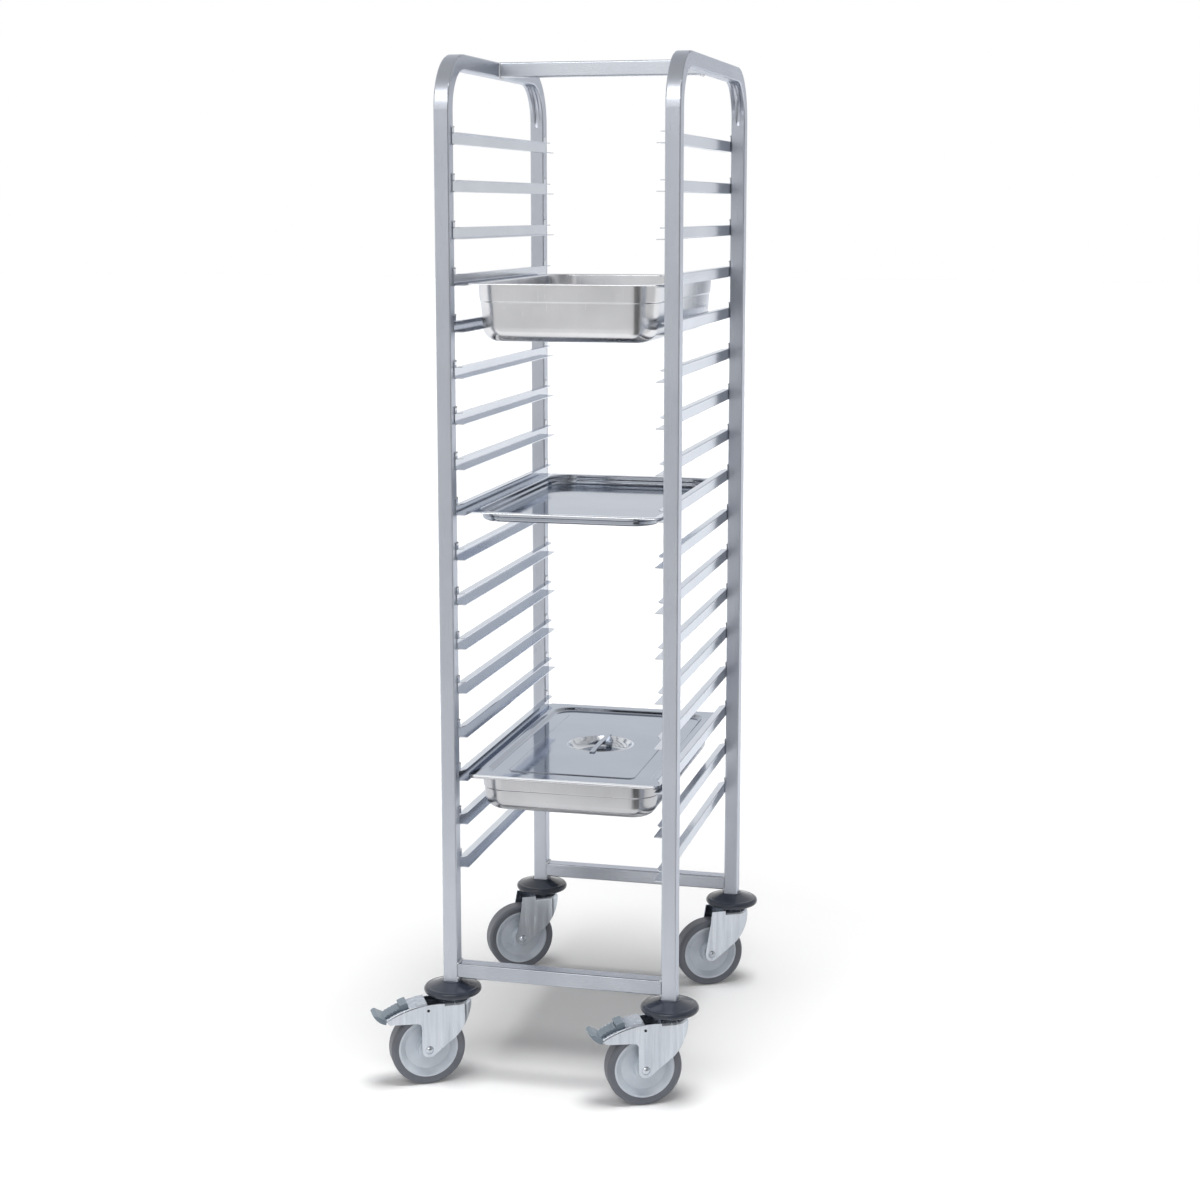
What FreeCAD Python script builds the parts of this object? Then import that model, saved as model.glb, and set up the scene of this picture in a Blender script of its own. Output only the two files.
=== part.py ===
"""Gastronorm tray trolley: a tall welded rack of square tube on four swivel casters.

Millimetres, +Z up. The front, where trays slide in, faces -Y.
The origin is on the floor, under the middle of the frame.
"""

import FreeCAD
import Part
import math
import os

Vec = FreeCAD.Vector

# Pans
PAN_WIDTH = 325.0
PAN_LENGTH = 530.0
PAN_SHEET = 1.0
RIM_FLAT = 11.5
RIM_CORNER = 12.0
RIM_HEIGHT = 2.6
PAN_CORNER = 46.0
PAN_DRAFT_DEGREES = 4.0
SHOULDER_RISE = 1.5
REST_CLEARANCE = 0.2
DEEP_PAN_DEPTH = 94.0
DEEP_PAN_SHOULDER = 29.0
DEEP_PAN_STEP = 1.6
DEEP_PAN_EDGE = 24.0
COVERED_PAN_DEPTH = 61.0
COVERED_PAN_SHOULDER = 23.0
COVERED_PAN_STEP = 1.6
COVERED_PAN_EDGE = 20.0
TRAY_DEPTH = 17.0
TRAY_SHOULDER = 7.0
TRAY_STEP = 3.0
TRAY_EDGE = 5.0

# Lid
LID_SHEET = 1.2
LID_BORDER = 22.0
LID_RECESS = 6.0
LID_RECESS_CORNER = 36.0
LID_PANEL_INSET = 32.0
LID_PANEL_RISE = 2.5
LID_PANEL_CORNER = 12.0
DISH_RADIUS = 53.0
DISH_FLOOR_RADIUS = 40.0
DISH_DEPTH = 15.0
GRIP_WIDTH = 10.0
GRIP_THICKNESS = 3.0
GRIP_FOOT = 7.0
GRIP_ARCH = 3.0

# Frame tube
TUBE = 25.0
TUBE_WALL = 1.5
TUBE_CORNER = 2.5
BEND_RADIUS = 90.0
CREASE_RADIUS = 7.0
CREASE_DEPTH = 4.5
CREASE_SPREAD_DEGREES = 55.0
SIDE_GAP = 10.5
END_GAP = 30.0
HEADROOM = 142.4
RAIL_ABOVE_POST_END = 7.0

# Runners
LEVELS = 17
LEVEL_PITCH = 73.6
LOWEST_LEVEL_ABOVE_POST_END = 196.0
FILLED = {"deep_pan": 14, "shallow_tray": 9, "covered_pan": 3}
RUNNER_SHEET = 1.5
RUNNER_HEIGHT = 17.5
RUNNER_BEND = 2.0
RUNNER_SETBACK = 14.5
FLANGE_UNDER_RIM = 5.5
LIP_OVER_RIM = 1.5
LIP_END_CUT = 5.0
LIP_CUT_LENGTH = 9.0
EAR_HEIGHT = 9.0

# Casters
WHEEL_DIAMETER = 125.0
TYRE_WIDTH = 32.0
TYRE_THICKNESS = 12.5
TYRE_SEAT_HALF = 13.0
TYRE_SHOULDER_DROP = 4.5
TYRE_SHOULDER_FULL = 1.0
TREAD_HALF = 10.0
CORE_LIP = 3.0
CORE_LIP_PROUD = 0.6
CORE_DISH_WALL = 9.0
CORE_WEB_HALF = 5.0
HUB_RADIUS = 17.0
HUB_DRAFT = 2.0
HUB_SIDE_GAP = 2.0
TRAIL = 45.0
FORK_INNER = 41.0
FORK_SHEET = 2.5
FORK_ROUND = 9.0
FORK_TIP_RADIUS = 12.5
FORK_LEAD = 30.5
FORK_BOW_BACK = 13.0
FORK_BOW_DROP = 40.5
FORK_KNEE_BACK = 47.0
FORK_KNEE_RISE = 21.0
FORK_TOP_TRAIL = 44.0
CROWN_REACH = 19.0
WHEEL_HEADROOM = 20.0
AXLE_RADIUS = 4.0
AXLE_HEAD_RADIUS = 7.0
AXLE_HEAD_HEIGHT = 4.0
SLEEVE_RADIUS = 6.0
RUNNING_FIT = 0.05
RACE_HEIGHT = 7.0
RACE_RADIUS = 20.0
RACE_PLATE = 3.0
RACE_SKIRT = 2.0
RACE_GAP = 0.6
RACE_CHAMFER = 1.5
BALL_RADIUS = 1.8
BALL_CIRCLE = 12.5
BALL_COUNT = 16
BALL_SEAT_GAP = 0.1
STEM_RADIUS = 6.0
STEM_REACH = 34.0
STEM_HEAD_FLATS = 19.0
STEM_HEAD_HEIGHT = 8.0
STEM_HEAD_GAP = 0.3
PLUG_LENGTH = 40.0
PLUG_CLEARANCE = 0.05
BUMPER_RADIUS = 48.0
BUMPER_HEIGHT = 22.0
BUMPER_RIM = 13.0
BUMPER_NECK_RADIUS = 19.0
BUMPER_NECK_LIP = 1.5
BUMPER_SEAT_MARGIN = 2.0
BUMPER_UNDER_RISE = 1.0

# Brakes on the front casters
HORN_REACH = 116.0
HORN_START_DROP = 4.5
HORN_TIP_DROP = 27.5
HORN_BULGE_BACK = 48.0
HORN_BULGE_RISE = 8.0
HORN_UNDERSIDE_OUT = 33.0
HORN_UNDERSIDE_IN = 35.0
HORN_NOSE = 5.0
HORN_FILLET = 8.0
PIN_RADIUS = 2.5
PIN_DROP = 14.0
PIN_BACK = 1.0
PIN_RECESS = 1.0
LEVER_GAP = 1.0
LEVER_SHEET = 2.5
LEVER_EDGE_FLAT = 0.5
LEVER_START = 48.0
LUG_SHEET = 2.5
LUG_GAP = 0.5
LUG_RADIUS = 6.0
LUG_INSET = 1.0
LUG_END = 66.0
SHOE_GAP = 0.4
SHOE_START = 64.0
SHOE_END = 84.0
SHOE_WIDTH = 26.0
PEDAL_GAP = 1.0
TOE_REACH = 22.0
TOE_RISE = 10.0
TOE_THICKNESS = 8.0
TOE_CORNER = 14.0
STRIP_LENGTH = 28.0
STRIP_WIDTH = 26.0
STRIP_HEIGHT = 2.4
STRIP_RUN_IN = 3.0
RIDGE_COUNT = 4
RIDGE_HEIGHT = 1.4
BLOCK_BACK = 38.0
BLOCK_LENGTH = 13.0
BLOCK_WIDTH = 30.0
BLOCK_HEIGHT = 8.0

# Which way each caster trails, in degrees from +X
CASTERS = {
    "front_left": (-1, -1, 209.0),
    "front_right": (1, -1, 206.0),
    "rear_left": (-1, 1, 211.0),
    "rear_right": (1, 1, 208.0),
}
BRAKED = ("front_left", "front_right")

# Places worked out from the sizes above
INNER_HALF = PAN_WIDTH / 2 + SIDE_GAP
FRAME_WIDTH = 2 * (INNER_HALF + TUBE)
FRAME_DEPTH = PAN_LENGTH + 2 * END_GAP
POST_X = FRAME_WIDTH / 2 - TUBE / 2
POST_Y = FRAME_DEPTH / 2 - TUBE / 2
AXLE_Z = WHEEL_DIAMETER / 2
TYRE_SEAT_RADIUS = WHEEL_DIAMETER / 2 - TYRE_THICKNESS
FORK_TOP = WHEEL_DIAMETER + WHEEL_HEADROOM
FORK_HALF = FORK_INNER / 2 + FORK_SHEET
RACE_TOP = FORK_TOP + RACE_HEIGHT
POST_END = RACE_TOP + BUMPER_HEIGHT
LOWEST_LEVEL = POST_END + LOWEST_LEVEL_ABOVE_POST_END
FRAME_HEIGHT = LOWEST_LEVEL + (LEVELS - 1) * LEVEL_PITCH + HEADROOM
PIN_U = TRAIL + PIN_BACK
PIN_Z = FORK_TOP - PIN_DROP


def level_height(level):
    """Height of a runner's bearing face; level 1 is the lowest."""
    return LOWEST_LEVEL + (level - 1) * LEVEL_PITCH


def upright(u, z):
    """A point in the XZ plane."""
    return Vec(u, 0, z)


def flat(x, y):
    """A point in the XY plane."""
    return Vec(x, y, 0)


def outline(plane, start, *steps):
    """A closed face: each step is (end,) for a line or (middle, end) for an arc."""
    edges = []
    here = start
    for step in steps:
        points = [plane(*here)] + [plane(*point) for point in step]
        curve = Part.LineSegment(*points) if len(step) == 1 else Part.Arc(*points)
        edges.append(curve.toShape())
        here = step[-1]
    if math.dist(here, start) > 1e-6:
        edges.append(Part.LineSegment(plane(*here), plane(*start)).toShape())
    return Part.Face(Part.Wire(edges))


def turned(start, *steps):
    """A solid of revolution about Z from an outline of (radius, height) points."""
    return outline(upright, start, *steps).revolve(Vec(0, 0, 0), Vec(0, 0, 1), 360)


def across(face, half_width):
    """An upright face given thickness along Y, the same on both sides."""
    solid = face.extrude(Vec(0, 2 * half_width, 0))
    return solid.translated(Vec(0, -half_width, 0))


def block(x0, x1, y0, y1, z0, z1):
    return Part.makeBox(x1 - x0, y1 - y0, z1 - z0, Vec(x0, y0, z0))


def rounded_rectangle(width, length, radius, z):
    """Wire of a rectangle with round corners, centred on the Z axis at height z."""
    x = width / 2
    y = length / 2
    slant = radius * (1 - math.sqrt(0.5))
    corners = [(1, -1), (1, 1), (-1, 1), (-1, -1)]
    edges = []
    for index, (sx, sy) in enumerate(corners):
        along_y = sx == sy
        before = Vec(sx * x, sy * (y - radius), z)
        after = Vec(sx * (x - radius), sy * y, z)
        if not along_y:
            before, after = after, before
        middle = Vec(sx * (x - slant), sy * (y - slant), z)
        edges.append(Part.Arc(before, middle, after).toShape())
        nx, ny = corners[(index + 1) % 4]
        if along_y:
            far = Vec(nx * (x - radius), ny * y, z)
        else:
            far = Vec(nx * x, ny * (y - radius), z)
        edges.append(Part.LineSegment(after, far).toShape())
    return Part.Wire(edges)


def slab(width, length, radius, z0, z1):
    """A flat plate with round corners between two heights."""
    wire = rounded_rectangle(width, length, radius, z0)
    return Part.Face(wire).extrude(Vec(0, 0, z1 - z0))


def circle_through(a, b, c):
    """Centre and radius of the circle through three (u, z) points."""
    circle = Part.Arc(upright(*a), upright(*b), upright(*c)).toShape().Curve
    return (circle.Center.x, circle.Center.z), circle.Radius


def on_circle(centre, radius, u):
    """The upper (u, z) point of a circle at a given u."""
    return (u, centre[1] + math.sqrt(radius ** 2 - (u - centre[0]) ** 2))


def tangent_point(point, centre, radius, side):
    """Where a line from a point touches a circle; side picks one of the two."""
    du = centre[0] - point[0]
    dz = centre[1] - point[1]
    distance = math.hypot(du, dz)
    angle = math.atan2(dz, du) + side * math.asin(radius / distance)
    reach = math.sqrt(distance ** 2 - radius ** 2)
    return (point[0] + reach * math.cos(angle), point[1] + reach * math.sin(angle))


# Frame

def arch_path(x):
    """Centre line of one side frame: front post, top with two bends, rear post."""
    turn = BEND_RADIUS - TUBE / 2
    slant = turn * (1 - math.sqrt(0.5))
    top = FRAME_HEIGHT - TUBE / 2
    points = [
        Vec(x, -POST_Y, POST_END),
        Vec(x, -POST_Y, top - turn),
        Vec(x, -POST_Y + slant, top - slant),
        Vec(x, -POST_Y + turn, top),
        Vec(x, POST_Y - turn, top),
        Vec(x, POST_Y - slant, top - slant),
        Vec(x, POST_Y, top - turn),
        Vec(x, POST_Y, POST_END),
    ]
    return Part.Wire([
        Part.LineSegment(points[0], points[1]).toShape(),
        Part.Arc(points[1], points[2], points[3]).toShape(),
        Part.LineSegment(points[3], points[4]).toShape(),
        Part.Arc(points[4], points[5], points[6]).toShape(),
        Part.LineSegment(points[6], points[7]).toShape(),
    ])


def arch(x, size, corner):
    section = rounded_rectangle(size, size, corner, POST_END)
    section.translate(Vec(x, -POST_Y, 0))
    return arch_path(x).makePipeShell([section], True, False)


def bend_creases(x, radius):
    """The two rings that press a crease into the inside of the bends."""
    inside = BEND_RADIUS - TUBE
    deepest = inside - (CREASE_RADIUS - CREASE_DEPTH)
    faded = inside - CREASE_RADIUS
    spread = math.cos(math.radians(CREASE_SPREAD_DEGREES))
    shift = (deepest ** 2 - faded ** 2) / (2 * (deepest - faded * spread))
    offset = shift * math.sqrt(0.5)
    rings = []
    for sy in (-1, 1):
        y = sy * (FRAME_DEPTH / 2 - BEND_RADIUS + offset)
        z = FRAME_HEIGHT - BEND_RADIUS + offset
        rings.append(Part.makeTorus(deepest - shift, radius, Vec(x, y, z), Vec(1, 0, 0)))
    return rings


def side_frame(side):
    x = side * POST_X
    outside = arch(x, TUBE, TUBE_CORNER)
    hollow = arch(x, TUBE - 2 * TUBE_WALL, TUBE_CORNER - TUBE_WALL)
    outside = outside.cut(bend_creases(x, CREASE_RADIUS))
    hollow = hollow.cut(bend_creases(x, CREASE_RADIUS + TUBE_WALL))
    return outside.cut(hollow)


def cross_tube(y, z):
    """A straight tube between the two side frames, centred at y, z."""
    def bar(size, corner):
        wire = rounded_rectangle(size, size, corner, -INNER_HALF)
        return Part.Face(wire).extrude(Vec(0, 0, 2 * INNER_HALF))
    hollow = bar(TUBE - 2 * TUBE_WALL, TUBE_CORNER - TUBE_WALL)
    tube = bar(TUBE, TUBE_CORNER).cut(hollow)
    tube.rotate(Vec(0, 0, 0), Vec(0, 1, 0), 90)
    return tube.translated(Vec(0, y, z))


# Runners

def runner():
    """One right-hand runner, its bearing face at z = 0."""
    x = INNER_HALF
    half = FRAME_DEPTH / 2 - RUNNER_SETBACK
    sheet = RUNNER_SHEET
    tip = x - SIDE_GAP - FLANGE_UNDER_RIM
    lip = x - SIDE_GAP - LIP_OVER_RIM
    section = outline(
        upright, (x, -sheet), ((tip, -sheet),), ((tip, 0),), ((x - sheet, 0),),
        ((x - sheet, RUNNER_HEIGHT - sheet),), ((lip, RUNNER_HEIGHT - sheet),),
        ((lip, RUNNER_HEIGHT),), ((x, RUNNER_HEIGHT),),
    )
    channel = across(section, half)
    bends = [
        edge for edge in channel.Edges
        if abs(edge.CenterOfMass.x - x) < 1e-6 and abs(edge.CenterOfMass.y) < 1e-6
    ]
    channel = channel.makeFillet(RUNNER_BEND, bends)
    ear_length = TUBE - RUNNER_SETBACK
    for end in (-1, 1):
        cut = outline(
            flat, (lip, end * half), ((lip + LIP_END_CUT, end * half),),
            ((lip, end * (half - LIP_CUT_LENGTH)),),
        ).extrude(Vec(0, 0, RUNNER_HEIGHT))
        channel = channel.cut(cut.translated(Vec(0, 0, sheet)))
        near, far = sorted((end * half, end * (half - ear_length)))
        top = RUNNER_HEIGHT + EAR_HEIGHT
        channel = channel.fuse(block(x - sheet, x, near, far, RUNNER_HEIGHT - RUNNER_BEND, top))
    return channel.removeSplitter()


def runners(side):
    right = runner()
    one = right if side > 0 else right.mirror(Vec(0, 0, 0), Vec(1, 0, 0))
    levels = range(1, LEVELS + 1)
    return Part.makeCompound([one.translated(Vec(0, 0, level_height(n))) for n in levels])


# Pans

def pan_core(depth, shoulder, step, edge, inset):
    """A filled pan body; inset shrinks it all round, for the inside."""
    width = PAN_WIDTH - 2 * RIM_FLAT - 2 * inset
    length = PAN_LENGTH - 2 * RIM_FLAT - 2 * inset
    corner = PAN_CORNER - inset
    slope = math.tan(math.radians(PAN_DRAFT_DEGREES))
    floor = depth - inset
    stations = [
        (0, 0),
        (shoulder, shoulder * slope),
        (shoulder + SHOULDER_RISE, shoulder * slope + step),
        (floor, floor * slope + step),
    ]
    wires = [
        rounded_rectangle(width - 2 * d, length - 2 * d, corner - d, RIM_HEIGHT - z)
        for z, d in stations
    ]
    body = Part.makeLoft(wires, True, True)
    bottom = RIM_HEIGHT - floor
    rim_of_floor = [
        edge for edge in body.Edges
        if abs(edge.BoundBox.ZMin - bottom) < 1e-6 and abs(edge.BoundBox.ZMax - bottom) < 1e-6
    ]
    return body.makeFillet(edge - inset, rim_of_floor)


def pan(depth, shoulder, step, edge):
    """A drawn pan whose rim rests just above z = 0."""
    rim = slab(PAN_WIDTH, PAN_LENGTH, RIM_CORNER, REST_CLEARANCE, RIM_HEIGHT)
    under = slab(
        PAN_WIDTH - 2 * PAN_SHEET, PAN_LENGTH - 2 * PAN_SHEET, RIM_CORNER - PAN_SHEET,
        REST_CLEARANCE, RIM_HEIGHT - PAN_SHEET,
    )
    shell = rim.cut(under).fuse(pan_core(depth, shoulder, step, edge, 0))
    return shell.cut(pan_core(depth, shoulder, step, edge, PAN_SHEET)).removeSplitter()


def frustum(width, length, radius, z0, z1):
    """A plate that narrows by as much as it rises, from z0 to z1."""
    lean = 2 * abs(z1 - z0)
    wires = [
        rounded_rectangle(width, length, radius, z0),
        rounded_rectangle(width - lean, length - lean, radius - lean / 2, z1),
    ]
    return Part.makeLoft(wires, True, True)


def lid_panel_height():
    return LID_PANEL_RISE - LID_RECESS


def lid():
    """A pressed lid, its border's underside at z = 0."""
    deep = LID_RECESS + DISH_DEPTH + 2 * LID_SHEET
    filled = slab(PAN_WIDTH, PAN_LENGTH, RIM_CORNER, -deep, 0)
    width = PAN_WIDTH - 2 * LID_BORDER
    length = PAN_LENGTH - 2 * LID_BORDER
    filled = filled.cut(frustum(width, length, LID_RECESS_CORNER, 0, -LID_RECESS))
    filled = filled.fuse(frustum(
        width - 2 * LID_PANEL_INSET, length - 2 * LID_PANEL_INSET, LID_PANEL_CORNER,
        -LID_RECESS, lid_panel_height(),
    ))
    top = lid_panel_height()
    dish = Part.makeCone(DISH_FLOOR_RADIUS, DISH_RADIUS, DISH_DEPTH, Vec(0, 0, top - DISH_DEPTH))
    filled = filled.cut(dish)
    sheet = filled.cut(filled.translated(Vec(0, 0, -LID_SHEET)))
    return sheet.translated(Vec(0, 0, LID_SHEET)).removeSplitter()


def lid_grip():
    """The strap across the dish, its feet on the lid's panel."""
    base = lid_panel_height() + LID_SHEET
    end = DISH_RADIUS + GRIP_FOOT
    start = DISH_RADIUS + GRIP_THICKNESS / 3
    low = base + GRIP_ARCH
    high = low + GRIP_THICKNESS
    strap = outline(
        upright, (-end, base), ((-start, base),), ((0, low), (start, base)), ((end, base),),
        ((end, base + GRIP_THICKNESS),), ((start, base + GRIP_THICKNESS),),
        ((0, high), (-start, base + GRIP_THICKNESS)), ((-end, base + GRIP_THICKNESS),),
    )
    strap = across(strap, GRIP_WIDTH / 2)
    strap.rotate(Vec(0, 0, 0), Vec(0, 0, 1), 90)
    return strap


# Casters, drawn trailing towards +X from a swivel axis on Z

def on_axle(solid):
    """Stands a solid turned about Z on the wheel's axle line."""
    solid.rotate(Vec(0, 0, 0), Vec(1, 0, 0), 90)
    return solid.translated(Vec(TRAIL, 0, AXLE_Z))


def tyre():
    half = TYRE_WIDTH / 2
    tread = WHEEL_DIAMETER / 2
    shoulder = tread - TYRE_SHOULDER_DROP
    rise = TYRE_SHOULDER_DROP * 0.75
    spread = (half + TREAD_HALF) / 2 + TYRE_SHOULDER_FULL
    return on_axle(turned(
        (TYRE_SEAT_RADIUS, -TYRE_SEAT_HALF), ((shoulder, -half),),
        ((shoulder + rise, -spread), (tread, -TREAD_HALF)), ((tread, TREAD_HALF),),
        ((shoulder + rise, spread), (shoulder, half)), ((TYRE_SEAT_RADIUS, TYRE_SEAT_HALF),),
    ))


def wheel_core():
    bore = SLEEVE_RADIUS + RUNNING_FIT
    hub = FORK_INNER / 2 - HUB_SIDE_GAP
    edge = TYRE_SEAT_HALF + CORE_LIP_PROUD
    lip = TYRE_SEAT_RADIUS - CORE_LIP
    dish = lip - CORE_DISH_WALL
    side = [
        (TYRE_SEAT_RADIUS, edge - CORE_LIP_PROUD), (TYRE_SEAT_RADIUS - CORE_LIP_PROUD, edge),
        (lip, edge), (dish, CORE_WEB_HALF), (HUB_RADIUS + HUB_DRAFT, CORE_WEB_HALF), (HUB_RADIUS, hub),
        (bore, hub),
    ]
    mirrored = [(radius, -height) for radius, height in reversed(side)]
    points = side + mirrored
    return on_axle(turned(points[0], *[(point,) for point in points[1:]]))


def axle_sleeve():
    tube = Part.makeCylinder(SLEEVE_RADIUS, FORK_INNER, Vec(0, 0, -FORK_INNER / 2))
    hole = Part.makeCylinder(AXLE_RADIUS + RUNNING_FIT, FORK_INNER, Vec(0, 0, -FORK_INNER / 2))
    return on_axle(tube.cut(hole))


def axle_rivet():
    head = FORK_HALF + AXLE_HEAD_HEIGHT
    ball = (AXLE_HEAD_RADIUS ** 2 + AXLE_HEAD_HEIGHT ** 2) / (2 * AXLE_HEAD_HEIGHT)
    rivet = Part.makeCylinder(AXLE_RADIUS, 2 * FORK_HALF, Vec(0, 0, -FORK_HALF))
    for side in (-1, 1):
        dome = Part.makeSphere(ball, Vec(0, 0, side * (head - ball)))
        low, high = sorted((side * FORK_HALF, side * head))
        cap = Part.makeCylinder(AXLE_HEAD_RADIUS, high - low, Vec(0, 0, low))
        rivet = rivet.fuse(dome.common(cap))
    return on_axle(rivet.removeSplitter())


def fork_lower_edge():
    """Points of a fork plate's leading edge: its curve, and where it meets the tip."""
    lead = (-FORK_LEAD - FORK_SHEET, FORK_TOP)
    knee = (TRAIL - FORK_KNEE_BACK, AXLE_Z + FORK_KNEE_RISE)
    bow = (FORK_BOW_BACK - FORK_LEAD, FORK_TOP - FORK_BOW_DROP)
    touch = tangent_point(knee, (TRAIL, AXLE_Z), FORK_TIP_RADIUS, -1)
    return lead, bow, knee, touch


def plain_plate():
    """A rear fork's side plate."""
    lead, bow, knee, touch = fork_lower_edge()
    corner = (FORK_TOP_TRAIL, FORK_TOP)
    back = tangent_point(corner, (TRAIL, AXLE_Z), FORK_TIP_RADIUS, 1)
    low = (TRAIL, AXLE_Z - FORK_TIP_RADIUS)
    return outline(
        upright, lead, (corner,), (back,), (low, touch), (knee,), (bow, lead),
    )


def horn_edge():
    """The arc of a braked fork's top edge, from the crown to the horn's tip."""
    start = (CROWN_REACH, FORK_TOP - HORN_START_DROP)
    tip = (HORN_REACH, FORK_TOP - HORN_TIP_DROP)
    bulge_at = HORN_REACH - HORN_BULGE_BACK
    along = (bulge_at - start[0]) / (tip[0] - start[0])
    straight = start[1] + (tip[1] - start[1]) * along
    return start, (bulge_at, straight + HORN_BULGE_RISE), tip


def braked_plate():
    """A front fork's side plate, with the horn that carries the pedal."""
    lead, bow, knee, touch = fork_lower_edge()
    start, bulge, tip = horn_edge()
    back = TRAIL + FORK_TIP_RADIUS
    low = (TRAIL, AXLE_Z - FORK_TIP_RADIUS)
    under_out = (HORN_REACH - HORN_NOSE, FORK_TOP - HORN_UNDERSIDE_OUT)
    under_in = FORK_TOP - HORN_UNDERSIDE_IN
    corner = HORN_FILLET * (1 - math.sqrt(0.5))
    return outline(
        upright, lead, ((CROWN_REACH, FORK_TOP),), (start,), (bulge, tip), (under_out,),
        ((back + HORN_FILLET, under_in),),
        ((back + corner, under_in - corner), (back, under_in - HORN_FILLET)),
        ((back, AXLE_Z),), (low, touch), (knee,), (bow, lead),
    )


def fork_head(half, lead, back, top, bend):
    """A prism with a round front and a rounded top edge, as the fork's head is pressed."""
    front = half - lead
    face = outline(
        flat, (back, -half), ((front, -half),), ((-lead, 0), (front, half)), ((back, half),))
    solid = face.extrude(Vec(0, 0, top))
    top_edges = [
        edge for edge in solid.Edges
        if edge.BoundBox.ZMin > top - 1e-6 and edge.BoundBox.XLength > 1e-6
    ]
    return solid.makeFillet(bend, top_edges)


def fork(plate, pin_hole):
    """A pressed shell: two side plates behind a round head that the stem passes through."""
    inner = FORK_INNER / 2
    reach = HORN_REACH + TRAIL
    head = fork_head(FORK_HALF, FORK_LEAD, CROWN_REACH, FORK_TOP, FORK_ROUND)
    plates = block(CROWN_REACH, reach, -FORK_HALF, FORK_HALF, 0, FORK_TOP)
    plates = plates.cut(block(CROWN_REACH, reach, -inner, inner, 0, FORK_TOP))
    hollow = fork_head(
        inner, FORK_LEAD - FORK_SHEET, reach, FORK_TOP - FORK_SHEET, FORK_ROUND - FORK_SHEET)
    shell = head.cut(hollow).fuse(plates)
    solid = shell.common(across(plate, FORK_HALF + FORK_SHEET))
    solid = solid.cut(Part.makeCylinder(STEM_RADIUS + RUNNING_FIT, FORK_TOP))
    sideways = Vec(0, 1, 0)
    axle = Part.makeCylinder(AXLE_RADIUS, 2 * FORK_HALF, Vec(TRAIL, -FORK_HALF, AXLE_Z), sideways)
    solid = solid.cut(axle)
    if pin_hole:
        pin = Part.makeCylinder(PIN_RADIUS, 2 * FORK_HALF, Vec(PIN_U, -FORK_HALF, PIN_Z), sideways)
        solid = solid.cut(pin)
    return solid.removeSplitter()


def race_cup():
    under = RACE_TOP - RACE_PLATE
    foot = FORK_TOP + RACE_GAP
    hole = STEM_RADIUS
    return turned(
        (hole, under), ((RACE_RADIUS - RACE_SKIRT, under),), ((RACE_RADIUS - RACE_SKIRT, foot),),
        ((RACE_RADIUS, foot),), ((RACE_RADIUS, RACE_TOP - RACE_CHAMFER),),
        ((RACE_RADIUS - RACE_CHAMFER, RACE_TOP),),
        ((hole, RACE_TOP),),
    )


def swivel_balls():
    z = FORK_TOP + BALL_SEAT_GAP + BALL_RADIUS
    balls = []
    for index in range(BALL_COUNT):
        angle = 2 * math.pi * index / BALL_COUNT
        place = Vec(BALL_CIRCLE * math.cos(angle), BALL_CIRCLE * math.sin(angle), z)
        balls.append(Part.makeSphere(BALL_RADIUS, place))
    return Part.makeCompound(balls)


def stem():
    """The bolt that holds the caster: its head under the crown, its shank up in the plug."""
    top = FORK_TOP - FORK_SHEET - STEM_HEAD_GAP
    across_corners = STEM_HEAD_FLATS / 2 / math.cos(math.radians(30))
    corners = [
        Vec(across_corners * math.cos(math.radians(60 * k)),
            across_corners * math.sin(math.radians(60 * k)), top - STEM_HEAD_HEIGHT)
        for k in range(7)
    ]
    head = Part.Face(Part.makePolygon(corners)).extrude(Vec(0, 0, STEM_HEAD_HEIGHT))
    shank = Part.makeCylinder(STEM_RADIUS, POST_END + STEM_REACH - top, Vec(0, 0, top))
    return head.fuse(shank)


def stem_plug():
    size = TUBE - 2 * TUBE_WALL - 2 * PLUG_CLEARANCE
    plug = slab(size, size, TUBE_CORNER - TUBE_WALL, POST_END, POST_END + PLUG_LENGTH)
    return plug.cut(Part.makeCylinder(STEM_RADIUS, PLUG_LENGTH, Vec(0, 0, POST_END)))


def bumper():
    """The round rubber buffer between the post and the caster."""
    rim_top = RACE_TOP + BUMPER_RIM
    bulge = BUMPER_RIM / 2
    inside = BUMPER_RADIUS - bulge
    return turned(
        (STEM_RADIUS, RACE_TOP), ((RACE_RADIUS + BUMPER_SEAT_MARGIN, RACE_TOP),),
        ((inside, RACE_TOP + BUMPER_UNDER_RISE),),
        ((BUMPER_RADIUS, RACE_TOP + bulge + BUMPER_UNDER_RISE / 2), (inside, rim_top),),
        ((BUMPER_NECK_RADIUS, POST_END - BUMPER_NECK_LIP),),
        ((BUMPER_NECK_RADIUS - BUMPER_NECK_LIP, POST_END),),
        ((STEM_RADIUS, POST_END),),
    )


# Brake: shown pressed down; the lever lifts about its pin to free the wheel

def brake_pin():
    half = FORK_HALF - PIN_RECESS
    return Part.makeCylinder(PIN_RADIUS, 2 * half, Vec(PIN_U, -half, PIN_Z), Vec(0, 1, 0))


def lever_band(centre, radius, thickness, start, end):
    """A face that follows the horn's curve between two places along it."""
    low_start = on_circle(centre, radius, start)
    low_middle = on_circle(centre, radius, (start + end) / 2)
    low_end = on_circle(centre, radius, end)
    outer = radius + thickness

    def lifted(point):
        grow = outer / radius
        return (
            centre[0] + (point[0] - centre[0]) * grow,
            centre[1] + (point[1] - centre[1]) * grow,
        )
    return outline(
        upright, low_start, (low_middle, low_end), (lifted(low_end),),
        (lifted(low_middle), lifted(low_start)),
    )


def brake_curve():
    """Centre of the horn's curve, and the radius of the lever's underside."""
    centre, radius = circle_through(*horn_edge())
    return centre, radius + LEVER_GAP


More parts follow.
